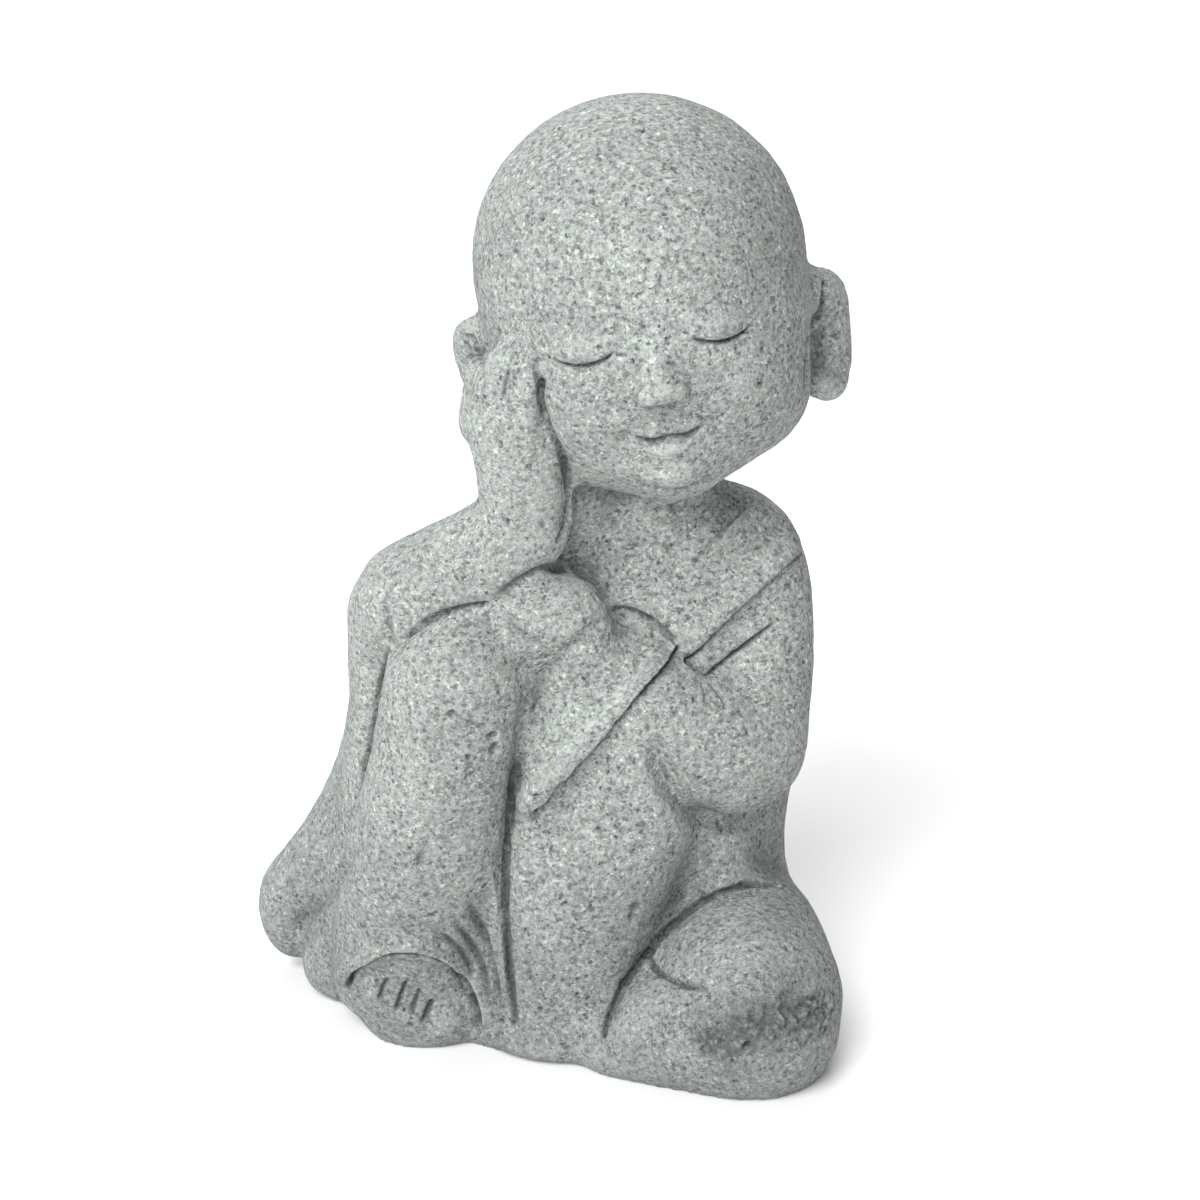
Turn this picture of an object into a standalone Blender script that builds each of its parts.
"""A seated little monk, cast in one piece in speckled grey stone mix.

It sits on the ground with its right knee raised, its right elbow on that knee and its tilted head
leaning on its right hand. The left leg lies folded in front, and the left hand reaches across the lap.
The monk faces -Y, its right side is at -X, and it stands on the ground plane, z = 0.
"""

import math

import bmesh
import bpy
import numpy as np
from mathutils import Matrix, Vector
from mathutils.bvhtree import BVHTree

HEIGHT = 0.200  # crown above the ground
UNIT = HEIGHT / 200.0  # every length below is in units of a two-hundredth of the height
BLOCK_VOXEL = 1.6 * UNIT  # grain of the roughed-out masses
BODY_VOXEL = 1.0 * UNIT  # grain of the joined figure that is carved
FACES_KEPT = 9800  # triangles kept before the figure is cut flat


# Building the masses

def spline(stations, steps):
    """Points on a smooth curve through the stations, with this many steps from one station to the next."""
    rows = np.array(stations, float)
    padded = np.vstack([2 * rows[0] - rows[1], rows, 2 * rows[-1] - rows[-2]])
    t = np.linspace(0, 1, steps, endpoint=False)[:, None]
    found = []
    for a, b, c, d in zip(padded[:-3], padded[1:-2], padded[2:-1], padded[3:]):
        bend = (2 * a - 5 * b + 4 * c - d) * t**2 + (3 * b - a - 3 * c + d) * t**3
        found.append(0.5 * (2 * b + (c - a) * t + bend))
    return np.vstack([*found, rows[-1:]])


def add_ball(bm, centre, radii):
    """One ellipsoid with its axes along X, Y and Z."""
    place = Matrix.Translation(Vector(centre) * UNIT) @ Matrix.Diagonal((*(r * UNIT for r in radii), 1.0))
    bmesh.ops.create_icosphere(bm, subdivisions=3, radius=1.0, matrix=place)


def add_limb(bm, stations, steps=6):
    """A run of ellipsoids along a smooth curve. A station is x, y, z and the three radii there."""
    for x, y, z, rx, ry, rz in spline(stations, steps):
        add_ball(bm, (x, y, z), (rx, ry, rz))


def evaluated_mesh(obj):
    graph = bpy.context.evaluated_depsgraph_get()
    return bpy.data.meshes.new_from_object(obj.evaluated_get(graph))


def fused(name, build, voxel, softness):
    """What build adds to a bmesh, fused into one closed mesh."""
    bm = bmesh.new()
    build(bm)
    mesh = bpy.data.meshes.new(name)
    bm.to_mesh(mesh)
    bm.free()
    return fused_mesh(name, mesh, voxel, softness)


def fused_mesh(name, mesh, voxel, softness):
    """The mesh made one closed skin of this grain, then smoothed this many times."""
    block = bpy.data.objects.new(name, mesh)
    bpy.context.scene.collection.objects.link(block)
    remesh = block.modifiers.new("fuse", "REMESH")
    remesh.mode = "VOXEL"
    remesh.voxel_size = voxel
    soften = block.modifiers.new("soften", "SMOOTH")
    soften.factor = 0.5
    soften.iterations = softness
    made = evaluated_mesh(block)
    bpy.data.objects.remove(block)
    return made


# The masses of the figure

HEAD_CENTRE = (18.6, -2.0, 160.0)
HEAD_TURN = (6.0, -10.0, 2.0)  # nods forward, leans on the hand, and turns a little


def build_robe(bm):
    """The seated body under its robe: seat, torso, lap and both legs."""
    # seat, belly, chest
    add_limb(bm, [
        (8, 14, 2, 43, 27, 9),
        (8, 14, 10, 45, 28, 14),
        (12, 13, 34, 38.5, 27, 20),
        (17.5, 9, 58, 34.5, 25, 20),
        (20, 7, 84, 29, 22, 17),
        (20, 5, 98, 27, 19, 14),
    ])
    # core that leaves no hollow between the masses
    add_limb(bm, [
        (2, -2, 2, 34, 24, 9),
        (2, 0, 14, 34, 24, 14),
        (4, 2, 40, 28, 20, 18),
        (8, 2, 66, 24, 18, 18),
    ])
    # slope of the shoulders
    add_limb(bm, [
        (-3, 5, 103, 15, 14, 13),
        (18, 5, 110, 18, 15, 9),
        (34, 4, 104.5, 16.5, 14, 14.5),
        (37, 5, 96, 17, 14, 15),
    ])
    # lap cloth between the legs
    add_limb(bm, [
        (14, -14, 64, 21, 12.5, 14),
        (7.5, -17, 48, 21, 13, 16),
        (2, -18, 29, 20, 13, 16),
        (1, -17, 12, 19, 13, 13),
        (2, -19, 4, 19, 13, 6),
    ])
    # the side of the lap between the elbow and the folded leg
    add_limb(bm, [
        (27, -3, 54, 14, 12, 12),
        (28, -4, 44, 14, 12, 12),
        (30, -5, 35, 13, 12, 10),
    ])
    # cloth under the tip of the hanging sleeve
    add_limb(bm, [
        (-2, -15, 68, 8, 8, 9),
        (-3, -17, 55, 8, 8, 9),
    ])
    # corner of the robe on the ground beside the foot
    add_ball(bm, (-12, -7, 3), (8, 8.5, 9))
    # raised right thigh and shin under the cloth
    add_limb(bm, [
        (-2, 6, 46, 20, 18, 20),
        (-12, -8, 66, 16, 16, 18),
        (-19, -20, 85, 15, 14, 14),
    ])
    add_limb(bm, [
        (-20, -21, 85.5, 15, 14, 14.5),
        (-23, -22, 66, 15.5, 14, 16),
        (-26.5, -18, 44, 17.5, 15, 18),
        (-29.5, -11, 22, 18.5, 14, 16),
        (-30, -8, 8, 18.5, 15, 8),
    ])
    # its cloth spreading back to the ground
    add_limb(bm, [
        (-33, -2, 40, 12, 12, 14),
        (-38, 2, 22, 14, 12, 14),
        (-41, 4.5, 10, 15.6, 11.4, 10),
        (-41, 4.5, 4, 15.6, 11.4, 6),
    ])
    # robe behind the raised leg, down to the ground
    add_limb(bm, [
        (-8, 8, 80, 18, 16, 20),
        (-18, 10, 60, 19, 16, 20),
        (-28, 12, 36, 20, 16, 18),
        (-35, 12, 14, 20, 15, 14),
        (-36, 12, 5, 20, 15, 6),
    ])
    # folded left leg
    add_limb(bm, [
        (32, 12, 16, 21, 20, 16),
        (37, -8, 17, 21, 20, 18),
        (41, -26, 15, 20, 18.8, 18.5),
    ])
    add_limb(bm, [
        (40.5, -29.2, 11, 20, 18.8, 18),
        (27, -29.2, 9, 15, 13.6, 14),
        (13, -27, 5, 9, 10, 8),
    ])


def build_sleeves(bm):
    """Left arm and sleeve, right arm on the knee, and the cloth that falls from the right elbow."""
    add_limb(bm, [
        (40, 4, 94, 14.5, 13, 14),
        (41, 1, 80, 13.8, 13, 13),
        (38.5, -7, 65, 14.8, 14, 15),
    ])
    # left forearm in its wide sleeve
    add_limb(bm, [
        (36, -10, 65, 14, 13, 15),
        (26, -14, 71, 12, 11, 15),
        (15, -16, 76, 11, 9, 14),
    ])
    # hanging mouth of that sleeve
    add_limb(bm, [
        (17, -13, 84, 9, 7, 9),
        (8, -18, 76, 9, 7, 9),
        (1, -21, 68, 8.5, 7, 8.5),
        (-4, -22, 61, 7, 6.5, 8),
    ])
    # wrist between the sleeve and the hand
    add_limb(bm, [
        (8, -15, 86, 10, 9, 10),
        (-2, -16, 90, 10, 9, 10),
    ])
    # right upper arm and forearm
    add_limb(bm, [
        (-4, 8, 103, 14, 13, 12),
        (-18, 0, 99.5, 12, 12, 12),
        (-30, -5, 96, 12, 12, 12),
    ])
    add_ball(bm, (-22, -7, 102), (12, 11, 11))
    add_limb(bm, [
        (-30, -10, 99, 11, 11.5, 12),
        (-20, -14, 106, 11.5, 11, 11.5),
        (-9, -17, 114, 11, 10, 10.5),
        (-5, -18, 121, 9.6, 8.5, 9),
    ])
    # cloth falling from the right elbow to the ground
    add_limb(bm, [
        (-34, -5, 94, 9.5, 10, 10),
        (-35.3, -2, 82, 8.4, 10, 10),
        (-38, 4, 66, 6.8, 10, 9),
        (-42.5, 7, 48, 7, 10, 9),
        (-49.5, 10, 32, 8.5, 10, 8),
        (-58, 13, 19, 8.5, 8, 9),
        (-58.2, 16, 10.5, 8, 8, 9),
    ])
    # cloth that closes the gap between that sleeve and the raised leg
    add_limb(bm, [
        (-32, -5, 84, 8, 9, 10),
        (-35.5, -3, 66, 8, 9, 12),
        (-38, -2, 46, 9, 9, 12),
        (-41, 0, 30, 9, 9, 10),
    ])
    # fill of cloth between the arm and the back
    add_limb(bm, [
        (-20, 4, 94, 13, 11, 12),
        (-26, 6, 78, 13, 12, 14),
        (-33, 8, 60, 12, 12, 14),
    ])


def build_head(bm):
    """Round skull, full cheeks and small chin, in the head's own frame."""
    add_limb(bm, [
        (0, 3, 8, 34, 36, 33),
        (0, 0, -4, 33, 34, 29),
        (0, -4, -14, 31, 28, 24),
    ])
    for side in (-1, 1):
        add_ball(bm, (side * 14.5, -9, -17.5), (16, 17, 15))
    add_ball(bm, (0, -13, -25.5), (14, 15, 12))


def head_frame():
    turn = [math.radians(a) for a in HEAD_TURN]
    return (
        Matrix.Translation(Vector(HEAD_CENTRE) * UNIT)
        @ Matrix.Rotation(turn[2], 4, "Z")
        @ Matrix.Rotation(turn[1], 4, "Y")
        @ Matrix.Rotation(turn[0], 4, "X")
    )


def build_ears(bm):
    """Flat ears with a rolled rim and a long lobe. The hand pushes the right one up and shortens it."""
    for side, top, length in ((-1, -0.5, 0.75), (1, -3, 1.0)):
        # rim, from the front of the ear over its top and down to the lobe
        add_limb(bm, [
            (side * 31, 0, top - 3, 2.6, 2.6, 2.6),
            (side * 35, 4, top - 0.5, 2.8, 2.8, 2.8),
            (side * 38.5, 9, top - 6 * length, 2.6, 2.8, 3.0),
            (side * 38.5, 10, top - 13 * length, 2.6, 2.8, 3.2),
            (side * 37, 8, top - 20 * length, 3.2, 3.0, 3.6),
            (side * 34.5, 3, top - 24 * length, 3.6, 3.2, 3.4),
            (side * 31, 0, top - 22 * length, 3.2, 3.0, 3.4),
        ])
        # floor of the ear
        add_limb(bm, [
            (side * 33, 5, top - 5 * length, 5, 3, 4),
            (side * 34, 8, top - 12 * length, 5, 3, 5),
            (side * 33, 5, top - 19 * length, 5, 3, 4),
        ])


def build_hands(bm):
    # right palm, then the two fingers that show and the one behind them
    add_limb(bm, [
        (-5, -18, 120, 9.5, 8.5, 9),
        (-6.5, -19, 130, 9.2, 8, 8.5),
        (-9.5, -19, 140, 8, 7, 7),
    ])
    add_limb(bm, [
        (-12, -18, 139, 5, 5, 5),
        (-11, -20, 148.5, 4.6, 4.6, 4.8),
        (-8.2, -22, 154.5, 3.8, 3.6, 3.8),
    ])
    add_limb(bm, [
        (-6.5, -21.5, 139, 4.8, 4.8, 5),
        (-5, -23, 148, 4.2, 4.2, 4.4),
        (-5, -24, 152.5, 3.5, 3.4, 3.5),
    ])
    add_limb(bm, [
        (-15, -13, 138, 4.4, 5, 5),
        (-14, -14, 149, 3.6, 4.4, 4.4),
    ])
    # left hand tucked between the right arm and the knee
    add_limb(bm, [
        (4, -17, 90, 9, 8, 10),
        (-1, -17.5, 97.5, 12.5, 9.5, 10.5),
        (-6, -18, 99, 10, 9, 10),
    ])
    # right foot
    add_limb(bm, [
        (-28.5, -6, 7, 14, 12, 12),
        (-28.5, -11.5, 6, 14.5, 12.6, 12.5),
    ])


def build_neck(bm):
    add_limb(bm, [
        (20, 4, 104, 19, 15, 9),
        (19, 4, 118, 15.5, 14.5, 10),
    ])
    # web that closes the space between the neck, the cheek and the wrist
    add_limb(bm, [
        (3, -4, 110, 9, 8, 9),
        (3, -5, 122, 8, 8, 9),
        (1, -6, 130, 7, 7, 7),
    ])


# Carving

SIGHT_TILT = math.radians(22.0)  # the carver looks down on the front by this much
FACE_LIFT = math.radians(18.0)  # the face looks up from the skull's own level by this much
STROKE_STEPS = 10  # places worked out between two points of a stroke


class Board:
    """A flat drawing board in front of the figure. What is drawn on it goes straight in to the surface."""

    def __init__(self, origin, across, up):
        self.origin = Vector(origin)
        self.across = Vector(across)
        self.up = Vector(up)
        self.inward = -self.across.cross(self.up)

    def lay(self, tree, points):
        """A smooth stroke through the points, laid on the surface."""
        found = []
        for u, v in spline(points, STROKE_STEPS):
            start = self.origin + (self.across * u + self.up * v) * UNIT - self.inward * HEIGHT * 2
            hit = tree.ray_cast(start, self.inward)[0]
            if hit is not None:
                found.append(hit)
        return np.array(found)


def front_board():
    return Board((0, 0, 0), (1, 0, 0), (0, math.sin(SIGHT_TILT), math.cos(SIGHT_TILT)))


def back_board():
    return Board((0, 0, 0), (-1, 0, 0), (0, 0, 1))


def face_board():
    frame = head_frame() @ Matrix.Rotation(-FACE_LIFT, 4, "X")
    turn = frame.to_3x3()
    return Board(frame.translation, turn @ Vector((1, 0, 0)), turn @ Vector((0, 0, 1)))


def eased(x):
    x = np.clip(x, 0, 1)
    return x * x * (3 - 2 * x)


class Carving:
    """The points of a mesh, with the tools that sink and raise them along their normals."""

    def __init__(self, mesh):
        count = len(mesh.vertices)
        self.mesh = mesh
        points = np.empty(count * 3, np.float32)
        normals = np.empty(count * 3, np.float32)
        mesh.vertices.foreach_get("co", points)
        mesh.vertices.foreach_get("normal", normals)
        self.points = points.reshape(-1, 3).astype(float)
        self.normals = normals.reshape(-1, 3).astype(float)
        bm = bmesh.new()
        bm.from_mesh(mesh)
        self.tree = BVHTree.FromBMesh(bm)
        bm.free()
        self.shift = np.zeros(count)

    def near(self, line, reach):
        """Points within reach of a line: their numbers, distances, side of the line and place along it."""
        inside = (self.points > line.min(axis=0) - reach) & (self.points < line.max(axis=0) + reach)
        found = np.nonzero(inside.all(axis=1))[0]
        best = np.full(len(found), np.inf)
        side = np.zeros(len(found))
        along = np.zeros(len(found))
        for i, (start, end) in enumerate(zip(line[:-1], line[1:])):
            run = end - start
            offset = self.points[found] - start
            t = np.clip(offset @ run / max(run @ run, 1e-12), 0, 1)
            away = offset - t[:, None] * run
            distance = np.linalg.norm(away, axis=1)
            nearer = distance < best
            best[nearer] = distance[nearer]
            side[nearer] = np.einsum("ij,ij->i", away, np.cross(run, self.normals[found]))[nearer]
            along[nearer] = ((i + t) / (len(line) - 1))[nearer]
        kept = best < reach
        return found[kept], best[kept], side[kept], along[kept]

    def groove(self, board, points, width, depth, fade=0.15):
        """Sinks a line into the surface, or raises it where depth is negative. Its ends fade out."""
        found, distance, _, along = self.near(board.lay(self.tree, points), width * 2.2 * UNIT)
        ends = eased(np.minimum(along, 1 - along) / fade)
        self.shift[found] -= depth * UNIT * np.exp(-((distance / (width * UNIT)) ** 2)) * ends

    def layer(self, board, points, reach, height, fade=0.12):
        """An edge of cloth. The cloth on the line's right-hand side stands up, and dies away over reach."""
        found, distance, side, along = self.near(board.lay(self.tree, points), reach * UNIT)
        ends = eased(np.minimum(along, 1 - along) / fade)
        rise = np.where(side > 0, 1 - eased(distance / (reach * UNIT)), 0.0)
        self.shift[found] += height * UNIT * rise * ends
        self.groove(board, points, 0.9, height * 0.8, fade)

    def swell(self, board, centre, radii, height):
        """A soft swelling, or a hollow where height is negative, with two radii on the board."""
        top = board.lay(self.tree, [centre, centre])[0]
        offset = (self.points - top) / UNIT
        near = np.exp(
            -((offset @ np.array(board.across) / radii[0]) ** 2)
            - (offset @ np.array(board.up) / radii[1]) ** 2
            - (offset @ np.array(board.inward) / (2 * max(radii))) ** 2
        )
        self.shift += height * UNIT * near

    def finish(self):
        moved = self.points + self.normals * self.shift[:, None]
        self.mesh.vertices.foreach_set("co", moved.astype(np.float32).ravel())
        self.mesh.update()


def carve_robe(carving):
    """The edges and folds of the robe, drawn on the front board as (across, up)."""
    front = front_board()
    # raised leg: its edge against the sleeve that falls from the elbow, and against the lap
    carving.groove(front, [(-34, 76), (-37, 66.5), (-39.5, 57), (-41, 48)], 1.0, 2.2, 0.3)
    lap_edge = [(-5, 69.5), (-6.8, 58), (-9, 43), (-10.3, 30), (-9.8, 18.5), (-8, -4.5)]
    carving.groove(front, lap_edge, 1.1, 2.2, 0.08)
    carving.groove(front, [(-18, 24.5), (-15.5, 17.5), (-13.5, 8), (-11.5, 0)], 1.1, 1.0)
    carving.groove(front, [(-39, 40), (-46.5, 27.5), (-54, 18.5), (-60, 13.5)], 2.0, 0.9)
    # arm on the knee
    carving.groove(front, [(-33, 77), (-27, 82.5), (-21.5, 85), (-12, 87)], 1.0, 1.4)
    carving.groove(front, [(-34, 88), (-33.5, 83), (-32.5, 79.5), (-31, 77)], 1.0, 1.1)
    # wide mouth of the left sleeve
    carving.layer(front, [(24, 77), (17.5, 70), (9.5, 61), (1, 52), (-5, 44)], 9, 1.8)
    carving.groove(front, [(11, 85), (7.5, 81), (4, 78), (-1, 74), (-3, 67), (-4.5, 59)], 1.0, 1.4)
    carving.groove(front, [(10, 85.5), (15.5, 84), (19.5, 82), (24, 77)], 1.0, 1.0)
    # collar over the left shoulder
    carving.layer(front, [(26, 97), (34.5, 104), (40, 109)], 6, 0.8, 0.4)
    carving.layer(front, [(51, 99), (43.5, 91.5), (35, 84), (26.5, 76)], 9, 1.5)
    carving.groove(front, [(44.5, 82.4), (38, 77.8), (31.6, 72.9)], 1.0, 1.0)
    carving.groove(front, [(26.5, 76), (30, 73.5), (33, 71), (35, 66)], 0.9, 0.8)
    # elbow against the belly
    elbow_fold = [(20.5, 61), (21.5, 53.5), (25, 47.5), (30, 43), (38, 41), (47, 44.5)]
    carving.groove(front, elbow_fold, 2.2, 2.0)
    # folded left leg
    knee_edge = [(9.5, -4.5), (12.5, 3.5), (18, 11.5), (26, 20.5), (35, 25.5), (46, 26.5)]
    carving.groove(front, knee_edge, 1.2, 2.2, 0.08)
    carving.groove(front, [(20, 13), (21, 10.4), (25, 8.4), (31, 7.3)], 1.0, 1.1)
    carving.groove(front, [(27, -3), (33, 0), (43, 3.5), (57.5, 10)], 1.8, 0.9)
    # hem that arches over the foot
    hem = [(-14.3, -4), (-16, 2), (-20, 8.5), (-25, 11.6), (-31, 12.8), (-38, 11.6), (-43, 8), (-44.7, 3.5)]
    carving.layer(front, hem, 7, 2.2)


def carve_back(carving):
    """Broad folds that hang across the back from the left shoulder, drawn from behind as (across, up)."""
    back = back_board()
    for low in (80, 56, 32):
        fold = [(-44, low + 26), (-30, low + 12), (-8, low - 2), (14, low - 4), (34, low + 4)]
        carving.groove(back, fold, 4.5, 1.0, 0.35)
    # collar round the back of the neck
    carving.groove(back, [(-42, 116), (-30, 113), (-18, 111), (-6, 112), (8, 114)], 1.6, 0.8)
    carving.groove(back, [(18, 108), (4, 103), (-16, 100), (-34, 102), (-50, 104)], 1.8, 0.9)


def carve_hands(carving):
    front = front_board()
    # right hand: edge against the cheek and chest, and the gap between two fingers
    palm = [(-0.5, 132), (-2.5, 127.5), (-1, 122), (2, 116.5), (3, 111.5), (3, 105.5), (1, 100)]
    carving.groove(front, palm, 1.2, 2.0)
    carving.groove(front, [(-8, 133), (-9, 130.5), (-9.5, 126)], 0.9, 1.2)
    # left hand: edge against the chest and the hollow below it
    knuckle_edge = [(-12, 87), (-7.5, 90.5), (-1.5, 94), (4.5, 94), (9, 91), (11, 86)]
    carving.groove(front, knuckle_edge, 1.1, 1.3)
    carving.swell(front, (-2, 73.5), (5, 4), -1.2)
    # toes: three gaps, and the round ends between them
    for gap in ([(-34.3, 7), (-36.2, 1)], [(-30, 6.5), (-32.7, -0.5)], [(-25.8, 3.5), (-28.7, -1.5)]):
        carving.groove(front, gap, 0.9, 1.5)
    for toe in ((-38.5, 3), (-34, 1.5), (-30.2, -0.5)):
        carving.swell(front, toe, (1.8, 2.2), 0.7)
    carving.swell(front, (-22, -2), (5, 4), 1.2)


# A baby's face on a drawing teacher's shares: the brows cross the middle of the head, and the eyes, the
# foot of the nose and the lower lip lie on the quarters below them. The head is five eyes wide.
CROWN = 41.0  # above the middle of the skull
JAW = -37.0
HEAD_WIDE = 66.0
BROW_LINE = (CROWN + JAW) / 2
QUARTER = (BROW_LINE - JAW) / 4
EYE_WIDE = HEAD_WIDE / 5
LASH_LINE = BROW_LINE - QUARTER
NOSE_FOOT = LASH_LINE - QUARTER
LIP_FOOT = NOSE_FOOT - QUARTER
LIP = 2.6  # height of the lower lip


def carve_eyes(carving, face):
    """Closed eyes: a round lid, a line that sags to the lashes, and a soft brow."""
    for side in (-1, 1):
        middle = side * EYE_WIDE
        half = EYE_WIDE / 2
        lashes = [
            (middle - side * half, LASH_LINE + 2.3),
            (middle, LASH_LINE),
            (middle + side * half, LASH_LINE + 2.6),
        ]
        carving.swell(face, (middle, LASH_LINE + 3.2), (7.5, 4.2), 1.2)
        carving.groove(face, lashes, 1.0, 1.9, 0.2)
        brow = [
            (middle - side * 7, BROW_LINE + 0.5),
            (middle + side * 1, BROW_LINE + 3.6),
            (middle + side * 9, BROW_LINE + 1),
        ]
        carving.groove(face, brow, 2.6, -0.6)


def carve_nose(carving, face):
    """A short straight bridge, a round tip and two small wings."""
    carving.groove(face, [(0, LASH_LINE + 3), (0, NOSE_FOOT + 4)], 2.4, -1.2, 0.35)
    carving.swell(face, (0, NOSE_FOOT + 3.2), (3.2, 3.0), 3.0)
    for side in (-1, 1):
        carving.swell(face, (side * 3.3, NOSE_FOOT + 2.2), (2.1, 1.8), 1.3)


def carve_mouth(carving, face):
    """A small closed mouth with its corners a little up, full cheeks and a round chin."""
    line = LIP_FOOT + LIP
    smile = [(-7, line + 1.2), (-3.4, line - 0.3), (0, line), (3.4, line - 0.3), (7, line + 1.2)]
    carving.swell(face, (0, line + 2.0), (4.6, 1.7), 1.0)
    carving.swell(face, (0, line - LIP + 0.4), (3.8, 1.8), 1.4)
    carving.groove(face, smile, 0.9, 1.6)
    for side in (-1, 1):
        carving.swell(face, (side * 15.5, NOSE_FOOT - 2), (9, 8), 1.2)
        carving.swell(face, (side * 7.6, line + 1.1), (1.6, 1.5), -0.9)
    chin = (LIP_FOOT + JAW) / 2
    carving.swell(face, (0, chin), (6.5, 4), 1.8)
    carving.groove(face, [(-7, chin - 1.4), (0, chin - 4.2), (7, chin - 1.4)], 1.1, 1.2)


# Putting the figure together

def clear_scene():
    for obj in list(bpy.data.objects):
        bpy.data.objects.remove(obj, do_unlink=True)


def joined(meshes):
    bm = bmesh.new()
    for mesh in meshes:
        bm.from_mesh(mesh)
    mesh = bpy.data.meshes.new("joined")
    bm.to_mesh(mesh)
    bm.free()
    return mesh


def masses():
    """The whole figure as one closed mesh, before it is carved."""
    robe = fused("robe", build_robe, BLOCK_VOXEL, 6)
    sleeves = fused("sleeves", build_sleeves, BLOCK_VOXEL, 3)
    head = fused("head", build_head, BLOCK_VOXEL, 25)
    ears = fused("ears", build_ears, BLOCK_VOXEL * 0.6, 2)
    head.transform(head_frame())
    ears.transform(head_frame())
    hands = fused("hands", build_hands, BLOCK_VOXEL * 0.7, 2)
    neck = fused("neck", build_neck, BLOCK_VOXEL, 3)
    return fused_mesh("figure", joined([robe, sleeves, head, ears, hands, neck]), BODY_VOXEL, 6)


def cut_flat(mesh):
    """Takes off all that lies below the ground plane and closes the underside."""
    bm = bmesh.new()
    bm.from_mesh(mesh)
    everything = bm.verts[:] + bm.edges[:] + bm.faces[:]
    cut = bmesh.ops.bisect_plane(
        bm, geom=everything, plane_co=(0, 0, 0), plane_no=(0, 0, 1), clear_inner=True
    )
    rim = [e for e in cut["geom_cut"] if isinstance(e, bmesh.types.BMEdge)]
    bmesh.ops.edgenet_fill(bm, edges=rim)
    bm.to_mesh(mesh)
    bm.free()


def centre_on_ground(mesh):
    """Puts the middle of the figure's box, seen from above, over the origin."""
    points = np.array([v.co for v in mesh.vertices])
    middle = (points.min(axis=0) + points.max(axis=0)) / 2
    mesh.transform(Matrix.Translation((-middle[0], -middle[1], 0)))


def thinned(mesh, faces):
    """The mesh in this many triangles, fewest where it is flattest."""
    block = bpy.data.objects.new("thinned", mesh)
    bpy.context.scene.collection.objects.link(block)
    thin = block.modifiers.new("thin", "DECIMATE")
    triangles = sum(len(p.vertices) - 2 for p in mesh.polygons)
    thin.ratio = faces / triangles
    made = evaluated_mesh(block)
    bpy.data.objects.remove(block)
    return made


def stone():
    """Speckled grey stone mix, matt and slightly green."""
    material = bpy.data.materials.new("grey stone mix")
    material.use_nodes = True
    shader = material.node_tree.nodes["Principled BSDF"]
    shader.inputs["Base Color"].default_value = (0.26, 0.29, 0.28, 1.0)
    shader.inputs["Roughness"].default_value = 0.92
    shader.inputs["Metallic"].default_value = 0.0
    return material


def main():
    clear_scene()
    mesh = masses()
    carving = Carving(mesh)
    carve_robe(carving)
    carve_back(carving)
    carve_hands(carving)
    face = face_board()
    carve_eyes(carving, face)
    carve_nose(carving, face)
    carve_mouth(carving, face)
    carving.finish()
    mesh = thinned(mesh, FACES_KEPT)
    cut_flat(mesh)
    centre_on_ground(mesh)
    mesh.name = "figure"
    mesh.shade_smooth()
    mesh.materials.append(stone())
    figure = bpy.data.objects.new("figure", mesh)
    home = bpy.data.collections.new("monk figurine")
    bpy.context.scene.collection.children.link(home)
    home.objects.link(figure)


main()
